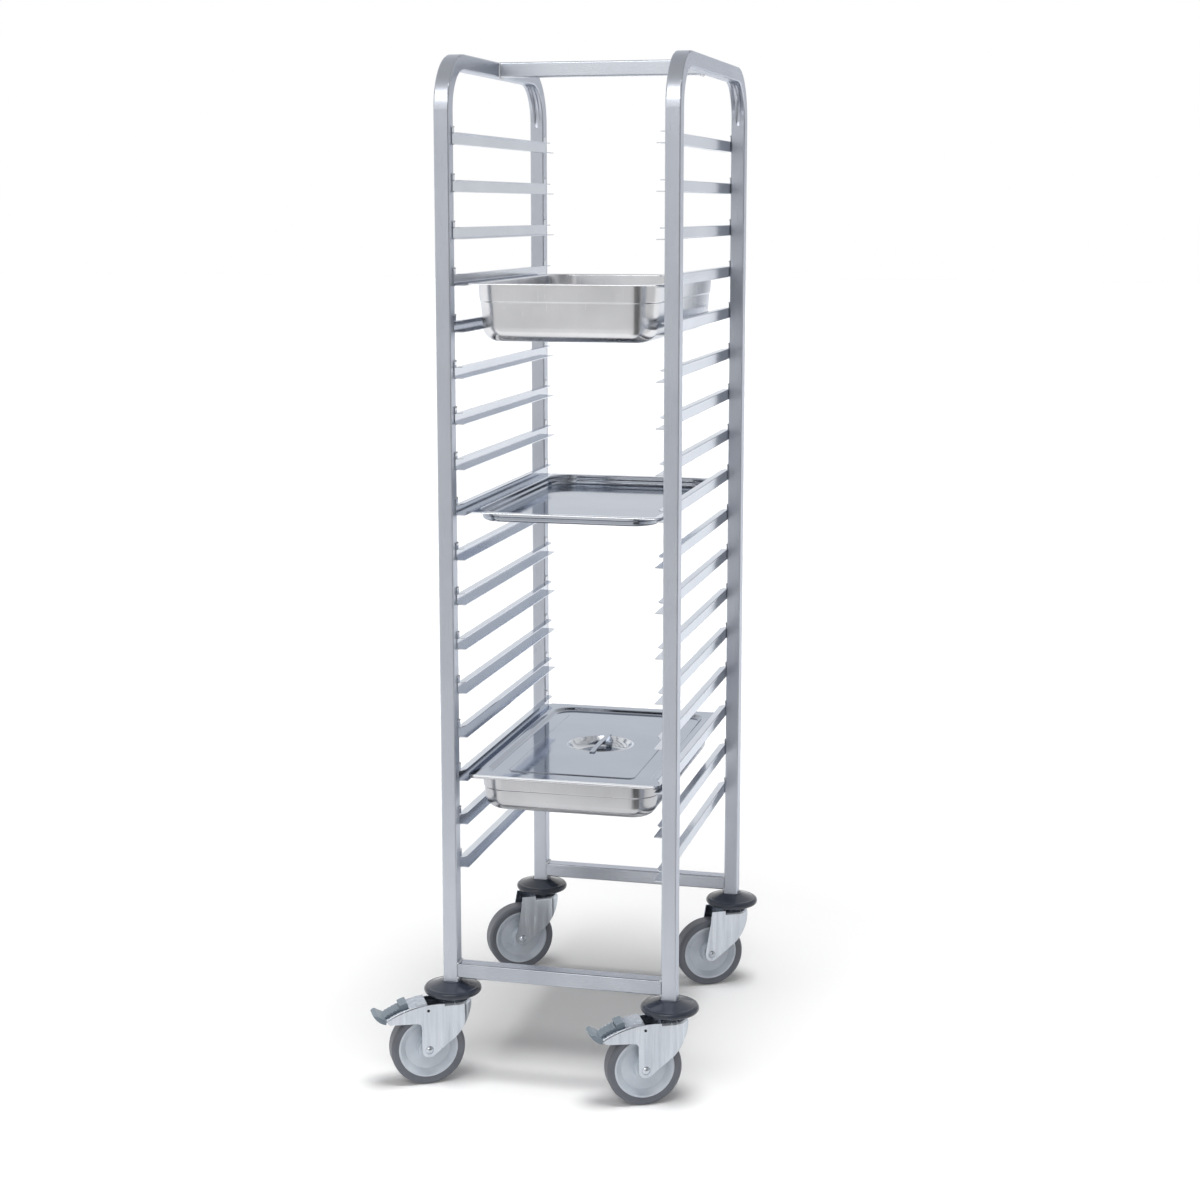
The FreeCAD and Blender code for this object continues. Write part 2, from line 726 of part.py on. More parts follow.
def brake_lever():
    centre, radius = brake_curve()
    plate = across(lever_band(centre, radius, LEVER_SHEET, LEVER_START, HORN_REACH), FORK_HALF)
    merge = radius + LEVER_SHEET / 2
    upper_sides = [
        edge for edge in plate.Edges
        if isinstance(edge.Curve, Part.Circle) and edge.Curve.Radius > merge
    ]
    plate = plate.makeFillet(LEVER_SHEET - LEVER_EDGE_FLAT, upper_sides)
    first = on_circle(centre, merge, LEVER_START + LUG_INSET)
    middle = on_circle(centre, merge, (LEVER_START + LUG_END) / 2)
    last = on_circle(centre, merge, LUG_END)
    lug = outline(
        upright, (PIN_U - LUG_RADIUS, PIN_Z),
        ((PIN_U, PIN_Z - LUG_RADIUS), (PIN_U + LUG_RADIUS, PIN_Z)),
        (last,), (middle, first),
    )
    outer = FORK_INNER / 2 - LUG_GAP
    lugs = across(lug, outer).cut(across(lug, outer - LUG_SHEET))
    hole = Part.makeCylinder(
        PIN_RADIUS + RUNNING_FIT, 2 * outer, Vec(PIN_U, -outer, PIN_Z), Vec(0, 1, 0))
    return plate.fuse(lugs).cut(hole).removeSplitter()


def brake_shoe():
    centre, radius = brake_curve()
    wheel = (TRAIL, AXLE_Z)
    sole = WHEEL_DIAMETER / 2 + SHOE_GAP
    middle = (SHOE_START + SHOE_END) / 2
    face = outline(
        upright, on_circle(wheel, sole, SHOE_START),
        (on_circle(wheel, sole, middle), on_circle(wheel, sole, SHOE_END)),
        (on_circle(centre, radius, SHOE_END),),
        (on_circle(centre, radius, middle), on_circle(centre, radius, SHOE_START)),
    )
    return across(face, SHOE_WIDTH / 2)


def brake_pedal():
    """The moulded pad on the lever: an upturned toe, a tread strip and a release block."""
    centre, radius = brake_curve()
    top = radius + LEVER_SHEET
    tip = on_circle(centre, radius, HORN_REACH)
    heel = (tip[0] + PEDAL_GAP, tip[1] - HORN_NOSE)
    toe_top = (tip[0] + TOE_REACH, tip[1] + TOE_RISE)
    toe_in = (toe_top[0] - TOE_THICKNESS, toe_top[1])
    belly = (tip[0] + TOE_REACH * 0.62, tip[1] + TOE_RISE * 0.08)
    throat = (belly[0] - TOE_THICKNESS * 0.85, belly[1] + TOE_THICKNESS * 0.6)
    crotch = (tip[0], tip[1] + LEVER_SHEET)
    toe = across(outline(
        upright, heel, (belly, toe_top), (toe_in,), (throat, crotch),
    ), FORK_HALF)
    plan = slab(toe_top[0], 2 * FORK_HALF, TOE_CORNER, 0, FORK_TOP)
    toe = toe.common(plan.translated(Vec(toe_top[0] / 2, 0, 0)))
    first = HORN_REACH - STRIP_LENGTH
    strip = across(
        lever_band(centre, top, STRIP_HEIGHT, first, HORN_REACH + STRIP_RUN_IN), STRIP_WIDTH / 2)
    pitch = STRIP_LENGTH / (RIDGE_COUNT + 1)
    ridges = []
    for index in range(RIDGE_COUNT):
        near = first + (index + 1) * pitch
        ridges.append(across(
            lever_band(centre, top, STRIP_HEIGHT + RIDGE_HEIGHT, near, near + pitch / 2), STRIP_WIDTH / 2))
    back = HORN_REACH - BLOCK_BACK
    release = across(
        lever_band(centre, top, BLOCK_HEIGHT, back, back + BLOCK_LENGTH), BLOCK_WIDTH / 2)
    rounded = release.makeFillet(
        BLOCK_HEIGHT / 4, [edge for edge in release.Edges if edge.BoundBox.YLength > BLOCK_WIDTH - 1])
    pedal = toe.fuse([strip, rounded] + ridges)
    lever = across(lever_band(centre, radius, LEVER_SHEET, LEVER_START, HORN_REACH), FORK_HALF)
    return pedal.cut(lever).removeSplitter()


def caster_place(shape, name):
    """Turns a caster piece to its heading and sets it under its post."""
    side, end, heading = CASTERS[name]
    shape.rotate(Vec(0, 0, 0), Vec(0, 0, 1), heading)
    return shape.translated(Vec(side * POST_X, end * POST_Y, 0))


def caster_pieces(name):
    braked = name in BRAKED
    pieces = {
        "bumper": bumper(),
        "stem": stem(),
        "race_cup": race_cup(),
        "swivel_balls": swivel_balls(),
        "fork": fork(braked_plate() if braked else plain_plate(), braked),
        "axle_rivet": axle_rivet(),
        "axle_sleeve": axle_sleeve(),
        "wheel_core": wheel_core(),
        "tyre": tyre(),
    }
    if braked:
        pieces["brake_pin"] = brake_pin()
        pieces["brake_lever"] = brake_lever()
        pieces["brake_shoe"] = brake_shoe()
        pieces["brake_pedal"] = brake_pedal()
    return {name + "_" + piece: caster_place(shape, name) for piece, shape in pieces.items()}


def build():
    rail_z = POST_END + RAIL_ABOVE_POST_END + TUBE / 2
    nodes = {
        "left_side_frame": side_frame(-1),
        "right_side_frame": side_frame(1),
        "top_crossbar": cross_tube(0, FRAME_HEIGHT - TUBE / 2),
        "front_bottom_rail": cross_tube(-POST_Y, rail_z),
        "rear_bottom_rail": cross_tube(POST_Y, rail_z),
        "left_runners": runners(-1),
        "right_runners": runners(1),
        "stem_plugs": Part.makeCompound([
            stem_plug().translated(Vec(side * POST_X, end * POST_Y, 0))
            for side, end, heading in CASTERS.values()
        ]),
    }
    for name in CASTERS:
        nodes.update(caster_pieces(name))
    deep = pan(DEEP_PAN_DEPTH, DEEP_PAN_SHOULDER, DEEP_PAN_STEP, DEEP_PAN_EDGE)
    covered = pan(COVERED_PAN_DEPTH, COVERED_PAN_SHOULDER, COVERED_PAN_STEP, COVERED_PAN_EDGE)
    tray = pan(TRAY_DEPTH, TRAY_SHOULDER, TRAY_STEP, TRAY_EDGE)
    covered_z = level_height(FILLED["covered_pan"])
    lid_z = covered_z + RIM_HEIGHT + REST_CLEARANCE
    nodes["deep_pan"] = deep.translated(Vec(0, 0, level_height(FILLED["deep_pan"])))
    nodes["shallow_tray"] = tray.translated(Vec(0, 0, level_height(FILLED["shallow_tray"])))
    nodes["covered_pan"] = covered.translated(Vec(0, 0, covered_z))
    nodes["pan_lid"] = lid().translated(Vec(0, 0, lid_z))
    nodes["lid_grip"] = lid_grip().translated(Vec(0, 0, lid_z))
    return nodes


os.makedirs("parts", exist_ok=True)
for node, shape in build().items():
    shape.exportStep("parts/" + node + ".step")
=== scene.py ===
"""Studio view of the gastronorm tray trolley.

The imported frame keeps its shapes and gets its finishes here. Drawn pans, the pressed lid
and the weld beads are modelled over it. Metres, +Z up, the front faces -Y.
"""

import math

import bmesh
import bpy
from mathutils import Matrix, Vector


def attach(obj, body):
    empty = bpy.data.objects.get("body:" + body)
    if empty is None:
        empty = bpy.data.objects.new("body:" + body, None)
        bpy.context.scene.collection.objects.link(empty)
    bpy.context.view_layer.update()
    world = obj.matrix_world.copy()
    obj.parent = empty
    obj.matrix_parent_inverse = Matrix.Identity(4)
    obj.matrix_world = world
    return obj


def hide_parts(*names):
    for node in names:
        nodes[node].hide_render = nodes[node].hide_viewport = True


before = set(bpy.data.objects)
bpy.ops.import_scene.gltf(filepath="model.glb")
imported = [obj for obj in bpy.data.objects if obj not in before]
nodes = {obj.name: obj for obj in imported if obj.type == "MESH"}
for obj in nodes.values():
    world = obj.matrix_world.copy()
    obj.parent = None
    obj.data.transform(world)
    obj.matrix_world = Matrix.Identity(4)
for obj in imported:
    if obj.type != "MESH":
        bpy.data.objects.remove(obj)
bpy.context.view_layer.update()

MM = 0.001

# Sizes of the drawn pans, as in the solids, in millimetres
PAN_WIDTH = 325.0
PAN_LENGTH = 530.0
PAN_SHEET = 1.0
RIM_FLAT = 11.5
RIM_CORNER = 12.0
RIM_HEIGHT = 2.6
RIM_LIFT = 0.2
PAN_CORNER = 46.0
PAN_SLOPE = math.tan(math.radians(4.0))
SHOULDER_RISE = 1.5
FLAT_FALL = 0.05
RIM_BEND = 2.0
MOUTH_BEND = 2.4
SHOULDER_BEND = 1.0
CORNER_STEPS = 10
BEND_STEPS = 6
DEEP_PAN_DEPTH = 94.0
DEEP_PAN_SHOULDER = 29.0
DEEP_PAN_STEP = 1.6
DEEP_PAN_EDGE = 24.0
TRAY_DEPTH = 17.0
TRAY_SHOULDER = 7.0
TRAY_STEP = 3.0
TRAY_EDGE = 5.0
COVERED_PAN_DEPTH = 61.0
COVERED_PAN_SHOULDER = 23.0
COVERED_PAN_STEP = 1.6
COVERED_PAN_EDGE = 20.0

# Levels are counted from the bottom
LOWEST_LEVEL = 370.0
LEVEL_PITCH = 73.6
LEVELS = 17
DEEP_PAN_LEVEL = 14
TRAY_LEVEL = 9
COVERED_PAN_LEVEL = 3

# Lid
LID_SHEET = 1.2
LID_EDGE = 3.4
LID_EDGE_BEND = 2.4
LID_BORDER = 22.0
LID_RECESS = 5.4
LID_RECESS_BEND = 2.0
LID_GUTTER_BEND = 2.4
LID_RECESS_LEAN = 5.0
LID_RECESS_CORNER = 36.0
LID_PANEL_INSET = 32.0
LID_PANEL_RISE = 1.5
LID_PANEL_LEAN = 1.3
LID_PANEL_CORNER = 12.0
LID_PANEL_BEND = 1.2
LID_BEAD_X = 150.0
LID_BEAD_FRONT = -222.0
LID_BEAD_BACK = 208.0
LID_BEAD_WIDTH = 5.0
LID_BEAD_RISE = 0.9
LID_BEAD_CREST = 2.0
LID_BEAD_ROUND = 2.45
LID_CREST_ROUND = 0.95
DISH_RADIUS = 53.0
DISH_FLOOR_RADIUS = 46.0
DISH_DEPTH = 15.0
DISH_LIP = 4.5
DISH_LIP_RISE = 1.2
DISH_LIP_BEND = 0.8
DISH_FLOOR_BEND = 11.0
DISH_STEPS = 64
GRIP_WIDTH = 9.0
GRIP_THICKNESS = 2.6
GRIP_ARCH = 0.9
GRIP_FOOT = 6.5
GRIP_EDGE = 0.7
GRIP_EDGE_STEPS = 3
GRIP_STEPS = 40

# Tube frame
TUBE = 25.0
INNER_HALF = 173.0
FRAME_TOP = 1690.0
POST_Y = 282.5
RAIL_MID = 193.5
RUNNER_HEIGHT = 17.5
EAR_HEIGHT = 9.0
EAR_NEAR = 270.5
EAR_FAR = 280.0
EAR_WELD = 1.5
EAR_WELD_SINK = 0.8
WELD_RADIUS = 2.4
WELD_SINK = 0.6
BAR_WELD_END = 1.0
BAR_WELD_TOP = 3.0
RAIL_WELD_END = 1.5
WELD_SIDES = 8
WELD_RINGS = 5

# Where the grain turns from the posts to the top of a side frame, in millimetres
ARCH_GRAIN_FROM = 1600.0
ARCH_GRAIN_TO = 1665.0

# Fineness of a grain along each axis
GRAIN_ALONG_X = (12.0, 900.0, 900.0)
GRAIN_ALONG_Y = (900.0, 12.0, 900.0)
GRAIN_ALONG_Z = (900.0, 900.0, 12.0)
DRAWN_GRAIN = (240.0, 240.0, 20.0)
PLATED_GRAIN = (130.0, 130.0, 8.0)
POLISHED_GRAIN = (60.0, 60.0, 60.0)

# Finishes
NOISE_LOW = 0.3
NOISE_HIGH = 0.7
STEEL_EDGE_TINT = (0.82, 0.85, 0.90, 1.0)
STEEL_BUMP_DEPTH = 0.0004
SPECKLE_BUMP_DEPTH = 0.0003
SPECKLE_PATCHES = 22.0
POLISH_ROUGH_LOW = 0.05
POLISH_ROUGH_HIGH = 0.10
SOFT_ROUGH = 0.15
# Widths in mm of the painted highlight that pales the lid's and the tray's borders
LID_HIGHLIGHT_BORDER = 1.2
TRAY_HIGHLIGHT_BORDER = 11.0
BORDER_FADE = 1.4
DISH_FADE = 2.0
ARCH_BUMP = 0.05
TUBE_BUMP = 0.015
PAN_BUMP = 0.02
POLISH_BUMP = 0.01

# Camera
CAMERA_AT = (0.8635, -3.5334, 1.4463)
CAMERA_YAW = 13.75
CAMERA_PITCH = 8.99
SENSOR = 36.0
LENS = 63.91
LENS_SHIFT = -0.045

# Floor, in metres: white to the eye, and in metal dimmer behind the camera
FLOOR_HALF = 40.0
FLOOR_WHITE = 0.90
FLOOR_DIM = 0.72
FLOOR_ROUGH = 0.9
FLOOR_DIM_TOWARD = (0.45, -0.9, 0.0)
FLOOR_WHITE_TO = 0.88
FLOOR_DIM_FROM = 1.15

# Darkest sector of that floor, and how closely a heading has to match it
FLAG_TOWARD = (0.469, -0.883, 0.0)
FLAG_FADE = 0.956
FLAG_FULL = 0.985
FLAG_DARK = 0.08

# Glow of the floor, stronger farther out
FLOOR_LIFT = 0.09
FLOOR_LIFT_FAR = 0.30
FLOOR_LIFT_FROM = 0.8
FLOOR_LIFT_TO = 2.0
FLOOR_LIFT_DIM = 0.2

# Backdrop: where its falloffs start and end, and the level they fall to
BACKDROP_FRONT_FALL = (-0.9, 0.2)
BACKDROP_FRONT = 0.90
BACKDROP_RIGHT_FALL = (0.05, 0.45)
BACKDROP_RIGHT = 0.76
FRONT_RIGHT_TOWARD = (0.707, -0.707, 0.0)
BACKDROP_FRONT_RIGHT_FALL = (0.65, 0.90)
BACKDROP_FRONT_RIGHT = 0.40
BACKDROP_TOP_FALL = (0.35, 0.85)
BACKDROP_TOP = 0.60
SKY_LIGHT = 0.20

# Lamps
TOP_LIGHT_AT = (0.18, -0.30, 3.0)
TOP_LIGHT_STRENGTH = 2.35
TOP_LIGHT_SPREAD = 24.0
FRONT_BOX_AT = (-0.2, -3.4, 3.45)
FRONT_BOX_TARGET = (0.0, 0.0, 1.1)
FRONT_BOX_WIDTH = 3.4
FRONT_BOX_HEIGHT = 1.1
FRONT_BOX_POWER = 46.0


def level_height(level):
    return LOWEST_LEVEL + (level - 1) * LEVEL_PITCH


# Node helpers

def add_node(tree, kind, **values):
    """A node with its plain properties and its inputs set by name."""
    made = tree.nodes.new(kind)
    for key, value in values.items():
        if key in made.inputs:
            made.inputs[key].default_value = value
        else:
            setattr(made, key, value)
    return made


def new_group(name, inputs, outputs):
    """An empty shader group with named float, colour or vector sockets."""
    group = bpy.data.node_groups.new(name, "ShaderNodeTree")
    for label, kind, value in inputs:
        socket = group.interface.new_socket(label, in_out="INPUT", socket_type=kind)
        socket.default_value = value
    for label, kind in outputs:
        group.interface.new_socket(label, in_out="OUTPUT", socket_type=kind)
    start = group.nodes.new("NodeGroupInput")
    end = group.nodes.new("NodeGroupOutput")
    return group, start, end


def use_group(tree, group, **values):
    made = tree.nodes.new("ShaderNodeGroup")
    made.node_tree = group
    for key, value in values.items():
        made.inputs[key].default_value = value
    return made


def brush_grain_group():
    """Fine scratches drawn out along one axis, over a slow clouding."""
    group, start, end = new_group(
        "brush_grain",
        [("Vector", "NodeSocketVector", (0.0, 0.0, 0.0)),
         ("Stretch", "NodeSocketVector", GRAIN_ALONG_Z)],
        [("Grain", "NodeSocketFloat"), ("Cloud", "NodeSocketFloat")],
    )
    links = group.links
    drawn = add_node(group, "ShaderNodeVectorMath", operation="MULTIPLY")
    links.new(start.outputs["Vector"], drawn.inputs[0])
    links.new(start.outputs["Stretch"], drawn.inputs[1])
    scratches = add_node(
        group, "ShaderNodeTexNoise", Scale=1.0, Detail=4.0, Roughness=0.65)
    links.new(drawn.outputs[0], scratches.inputs["Vector"])
    links.new(scratches.outputs["Fac"], end.inputs["Grain"])
    cloud = add_node(group, "ShaderNodeTexNoise", Scale=9.0, Detail=3.0, Roughness=0.5)
    links.new(start.outputs["Vector"], cloud.inputs["Vector"])
    links.new(cloud.outputs["Fac"], end.inputs["Cloud"])
    return group


def speckle_group():
    """Moulded grain and dull patches for rubber, plastic and plated sheet."""
    group, start, end = new_group(
        "speckle",
        [("Vector", "NodeSocketVector", (0.0, 0.0, 0.0)),
         ("Fine", "NodeSocketFloat", 900.0), ("Broad", "NodeSocketFloat", 25.0)],
        [("Pitting", "NodeSocketFloat"), ("Patches", "NodeSocketFloat")],
    )
    links = group.links
    fine = add_node(group, "ShaderNodeTexNoise", Detail=2.0, Roughness=0.6)
    broad = add_node(group, "ShaderNodeTexNoise", Detail=4.0, Roughness=0.55)
    for texture, label in ((fine, "Fine"), (broad, "Broad")):
        links.new(start.outputs["Vector"], texture.inputs["Vector"])
        links.new(start.outputs[label], texture.inputs["Scale"])
    links.new(fine.outputs["Fac"], end.inputs["Pitting"])
    links.new(broad.outputs["Fac"], end.inputs["Patches"])
    return group


BRUSH_GRAIN = brush_grain_group()
SPECKLE = speckle_group()


def new_material(name):
    material = bpy.data.materials.new(name)
    material.use_nodes = True
    tree = material.node_tree
    return material, tree, tree.nodes["Principled BSDF"]


def spread(tree, value, low, high, out_low, out_high):
    """A value stretched from one range to another."""
    made = add_node(tree, "ShaderNodeMapRange")
    made.inputs["From Min"].default_value = low
    made.inputs["From Max"].default_value = high
    made.inputs["To Min"].default_value = out_low
    made.inputs["To Max"].default_value = out_high
    tree.links.new(value, made.inputs["Value"])
    return made.outputs["Result"]


def from_noise(tree, noise, low, high):
    """A noise stretched from its usual range to two values."""
    return spread(tree, noise, NOISE_LOW, NOISE_HIGH, low, high)


def tint(tree, mask, dark, light):
    """A colour between two, by a mask from 0 to 1."""
    mix = add_node(tree, "ShaderNodeMix", data_type="RGBA")
    mix.inputs["A"].default_value = (*dark, 1.0)
    mix.inputs["B"].default_value = (*light, 1.0)
    tree.links.new(mask, mix.inputs["Factor"])
    return mix.outputs["Result"]


def bump(tree, shader, height, strength, depth):
    made = add_node(tree, "ShaderNodeBump", Strength=strength, Distance=depth)
    tree.links.new(height, made.inputs["Height"])
    tree.links.new(made.outputs["Normal"], shader.inputs["Normal"])


def new_steel(name):
    """Bare metal, and the place that its patterns read."""
    material, tree, shader = new_material(name)
    shader.inputs["Metallic"].default_value = 1.0
    shader.inputs["Specular Tint"].default_value = STEEL_EDGE_TINT
    place = add_node(tree, "ShaderNodeTexCoord")
    return material, tree, shader, place.outputs["Object"]


def steel(name, dark, light, rough_low, rough_high, stretch, bump_strength=0.05, streaks=0.2):
    """Stainless sheet or tube with a drawn grain along one axis."""
    material, tree, shader, place = new_steel(name)
    grain = use_group(tree, BRUSH_GRAIN, Stretch=stretch)
    tree.links.new(place, grain.inputs["Vector"])
    tone = add_node(tree, "ShaderNodeMix", data_type="FLOAT", Factor=streaks)
    tree.links.new(grain.outputs["Cloud"], tone.inputs["A"])
    tree.links.new(grain.outputs["Grain"], tone.inputs["B"])
    tone_mask = from_noise(tree, tone.outputs["Result"], 0.0, 1.0)
    tree.links.new(tint(tree, tone_mask, dark, light), shader.inputs["Base Color"])
    rough = from_noise(tree, grain.outputs["Grain"], rough_low, rough_high)
    tree.links.new(rough, shader.inputs["Roughness"])
    bump(tree, shader, grain.outputs["Grain"], bump_strength, STEEL_BUMP_DEPTH)
    return material


def arch_steel(name, dark, light, rough_low, rough_high):
    """Steel of a bent side frame: the grain runs up the posts and along the top."""
    material, tree, shader, place = new_steel(name)
    posts = use_group(tree, BRUSH_GRAIN, Stretch=GRAIN_ALONG_Z)
    top = use_group(tree, BRUSH_GRAIN, Stretch=GRAIN_ALONG_Y)
    for grain in (posts, top):
        tree.links.new(place, grain.inputs["Vector"])
    parts = add_node(tree, "ShaderNodeSeparateXYZ")
    tree.links.new(place, parts.inputs["Vector"])
    bend = spread(tree, parts.outputs["Z"], ARCH_GRAIN_FROM * MM, ARCH_GRAIN_TO * MM, 0.0, 1.0)
    both = add_node(tree, "ShaderNodeMix", data_type="FLOAT")
    tree.links.new(bend, both.inputs["Factor"])
    tree.links.new(posts.outputs["Grain"], both.inputs["A"])
    tree.links.new(top.outputs["Grain"], both.inputs["B"])
    cloud = from_noise(tree, posts.outputs["Cloud"], 0.0, 1.0)
    tree.links.new(tint(tree, cloud, dark, light), shader.inputs["Base Color"])
    rough = from_noise(tree, both.outputs["Result"], rough_low, rough_high)
    tree.links.new(rough, shader.inputs["Roughness"])
    bump(tree, shader, both.outputs["Result"], ARCH_BUMP, STEEL_BUMP_DEPTH)
    return material


def mirror_sheet(name, dark, light, edge, border, dish_radius):
    """Polished sheet with a painted highlight: a paler colour and a softer finish along its border
    and inside a dish in its middle.
    """
    material, tree, shader, place = new_steel(name)
    grain = use_group(tree, BRUSH_GRAIN, Stretch=POLISHED_GRAIN)
    tree.links.new(place, grain.inputs["Vector"])
    parts = add_node(tree, "ShaderNodeSeparateXYZ")
    size = add_node(tree, "ShaderNodeVectorMath", operation="ABSOLUTE")
    tree.links.new(place, size.inputs[0])
    tree.links.new(size.outputs[0], parts.inputs["Vector"])
    outer = add_node(tree, "ShaderNodeMath", operation="MAXIMUM")
    for slot, axis, span in ((0, "X", PAN_WIDTH), (1, "Y", PAN_LENGTH)):
        inside = span / 2 - border
        near = spread(tree, parts.outputs[axis], (inside - BORDER_FADE) * MM, inside * MM, 0.0, 1.0)
        tree.links.new(near, outer.inputs[slot])
    across = add_node(tree, "ShaderNodeVectorMath", operation="MULTIPLY")
    across.inputs[1].default_value = (1.0, 1.0, 0.0)
    tree.links.new(place, across.inputs[0])
    radius = add_node(tree, "ShaderNodeVectorMath", operation="LENGTH")
    tree.links.new(across.outputs[0], radius.inputs[0])
    dish = spread(
        tree, radius.outputs["Value"], dish_radius * MM, (dish_radius + DISH_FADE) * MM, 1.0, 0.0)
    # Painted highlight: the border and the dish take the pale colour and the softer finish
    painted_highlight = add_node(tree, "ShaderNodeMath", operation="MAXIMUM")
    tree.links.new(outer.outputs[0], painted_highlight.inputs[0])
    tree.links.new(dish, painted_highlight.inputs[1])
    cloud = from_noise(tree, grain.outputs["Cloud"], 0.0, 1.0)
    mix = add_node(tree, "ShaderNodeMix", data_type="RGBA")
    mix.inputs["B"].default_value = (*edge, 1.0)
    tree.links.new(painted_highlight.outputs[0], mix.inputs["Factor"])
    tree.links.new(tint(tree, cloud, dark, light), mix.inputs["A"])
    tree.links.new(mix.outputs["Result"], shader.inputs["Base Color"])
    rough = add_node(tree, "ShaderNodeMix", data_type="FLOAT")
    rough.inputs["B"].default_value = SOFT_ROUGH
    polish = from_noise(tree, grain.outputs["Grain"], POLISH_ROUGH_LOW, POLISH_ROUGH_HIGH)
    tree.links.new(polish, rough.inputs["A"])
    tree.links.new(painted_highlight.outputs[0], rough.inputs["Factor"])
    tree.links.new(rough.outputs["Result"], shader.inputs["Roughness"])
    bump(tree, shader, grain.outputs["Grain"], POLISH_BUMP, STEEL_BUMP_DEPTH)
    return material


def moulded(
        name, dark, light, rough_low, rough_high, fine, metallic=0.0, bump_strength=0.12,
        shine=0.5):
    """Rubber, plastic or plated metal with a speckled surface."""
    material, tree, shader = new_material(name)
    shader.inputs["Metallic"].default_value = metallic
    place = add_node(tree, "ShaderNodeTexCoord")
    grain = use_group(tree, SPECKLE, Fine=fine, Broad=SPECKLE_PATCHES)
    tree.links.new(place.outputs["Object"], grain.inputs["Vector"])
    patches = from_noise(tree, grain.outputs["Patches"], 0.0, 1.0)
    tree.links.new(tint(tree, patches, dark, light), shader.inputs["Base Color"])
    rough = from_noise(tree, grain.outputs["Patches"], rough_low, rough_high)
    tree.links.new(rough, shader.inputs["Roughness"])
    shader.inputs["Specular IOR Level"].default_value = shine
    bump(tree, shader, grain.outputs["Pitting"], bump_strength, SPECKLE_BUMP_DEPTH)
    return material


ARCH_STEEL = arch_steel("arch_steel", (0.48, 0.505, 0.56), (0.53, 0.555, 0.61), 0.26, 0.36)
# Painted highlight: the crossbar steel is paler than the other tubes, for the front light it
# reflects
CROSSBAR_HIGHLIT_STEEL = steel(
    "crossbar_highlit_steel", (0.58, 0.61, 0.665), (0.64, 0.67, 0.72), 0.26, 0.36, GRAIN_ALONG_X,
    TUBE_BUMP)
# Painted shade: the bottom rails are darker than the posts, partly their own finish and partly the
# floor shadow they reflect; the front rail is darkest
RAIL_STEEL = steel(
    "rail_steel", (0.44, 0.46, 0.51), (0.49, 0.51, 0.56), 0.20, 0.30, GRAIN_ALONG_X, TUBE_BUMP)
FRONT_RAIL_STEEL = steel(
    "front_rail_steel", (0.35, 0.37, 0.415), (0.455, 0.475, 0.52), 0.20, 0.30, GRAIN_ALONG_X,
    TUBE_BUMP)
RUNNER_STEEL = steel(
    "runner_steel", (0.64, 0.66, 0.70), (0.70, 0.72, 0.755), 0.10, 0.17, GRAIN_ALONG_Y)
WELD_STEEL = moulded(
    "weld_steel", (0.52, 0.54, 0.57), (0.74, 0.76, 0.79), 0.24, 0.40, 900.0, 1.0, 0.25)
DEEP_PAN_STEEL = steel(
    "deep_pan_steel", (0.60, 0.603, 0.615), (0.78, 0.783, 0.80), 0.16, 0.28, DRAWN_GRAIN,
    PAN_BUMP)
# Painted shade: the covered pan's steel is a darker copy of the deep pan's, for the shade it sits
# in under its lid
COVERED_PAN_SHADED_STEEL = steel(
    "covered_pan_shaded_steel", (0.44, 0.44, 0.455), (0.56, 0.565, 0.58), 0.16, 0.28, DRAWN_GRAIN,
    PAN_BUMP)
# Their third colour is a painted highlight: it pales the border, and on the lid also the dish
LID_STEEL = mirror_sheet(
    "lid_steel", (0.39, 0.415, 0.46), (0.43, 0.455, 0.50), (0.76, 0.78, 0.81),
    LID_HIGHLIGHT_BORDER, DISH_RADIUS + DISH_LIP)
TRAY_STEEL = mirror_sheet(
    "tray_steel", (0.34, 0.365, 0.41), (0.38, 0.405, 0.45), (0.76, 0.78, 0.82),
    TRAY_HIGHLIGHT_BORDER, 0.0)
# Strong vertical colour streaks: partly plating tone, partly painted reflection bands of the fork's
# bends
ZINC_PLATE = steel(
    "zinc_plate", (0.40, 0.43, 0.48), (0.68, 0.72, 0.77), 0.10, 0.30, PLATED_GRAIN, 0.03, 0.7)
BALL_STEEL = moulded(
    "ball_steel", (0.6, 0.6, 0.62), (0.66, 0.66, 0.68), 0.1, 0.16, 500.0, 1.0, 0.01)
# Near-black pin: partly its own dark oxide, partly painted shade of the hole it sits in
PIN_BLACK = moulded("pin_black", (0.012, 0.012, 0.013), (0.02, 0.02, 0.021), 0.4, 0.5, 900.0)
BUMPER_RUBBER = moulded(
    "bumper_rubber", (0.024, 0.030, 0.045), (0.040, 0.048, 0.068), 0.16, 0.26, 700.0, 0.0, 0.05)
TYRE_RUBBER = moulded(
    "tyre_rubber", (0.138, 0.147, 0.172), (0.170, 0.180, 0.208), 0.40, 0.52, 1100.0)
WHEEL_PLASTIC = moulded(
    "wheel_plastic", (0.58, 0.63, 0.70), (0.70, 0.75, 0.81), 0.26, 0.40, 800.0, 0.0, 0.06)
PEDAL_PLASTIC = moulded(
    "pedal_plastic", (0.17, 0.215, 0.255), (0.20, 0.245, 0.29), 0.34, 0.44, 900.0)
BRAKE_RUBBER = moulded("brake_rubber", (0.04, 0.04, 0.045), (0.055, 0.055, 0.06), 0.6, 0.7, 900.0)
PLUG_PLASTIC = moulded("plug_plastic", (0.03, 0.03, 0.03), (0.045, 0.045, 0.045), 0.5, 0.6, 900.0)

